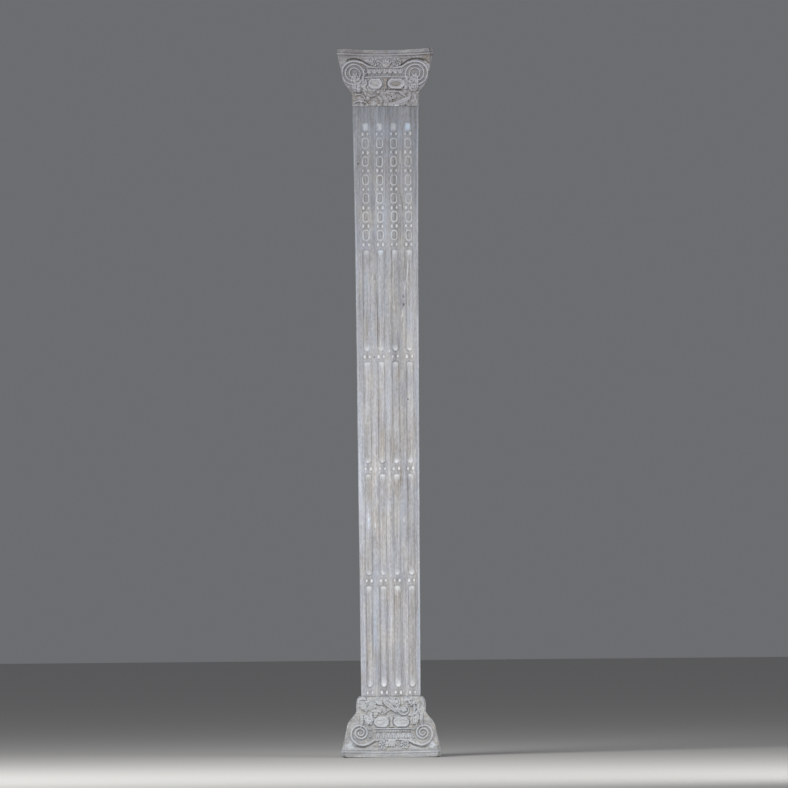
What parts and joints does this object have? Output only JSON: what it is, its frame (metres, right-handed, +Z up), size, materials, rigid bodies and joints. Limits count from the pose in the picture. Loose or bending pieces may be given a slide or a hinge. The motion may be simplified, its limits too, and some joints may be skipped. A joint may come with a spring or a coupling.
{
  "type": "carved wooden pillar",
  "caption": "Tall square pillar of carved whitewashed wood: fluted tapering shaft between a flared base and a flared capital with corner volutes, egg moulding, panels and leaves.",
  "frame": {"origin": "centre of the pillar's plan at the level of its underside", "axes": "+Z up along the pillar, -Y out of the carved front, +X to the right of someone who faces the front"},
  "size_m": [0.313, 0.313, 2.2],
  "materials": {
    "base_wood": "carved old wood under thin worn white paint, palest in the hollows",
    "shaft_wood": "carved old wood under thin worn white paint with grey brown grain showing",
    "capital_wood": "carved old wood under worn white paint, greyer and browner than the rest"
  },
  "bodies": {
    "root": {"base": "base_wood", "shaft": "shaft_wood", "capital": "capital_wood"}
  },
  "joints": []
}
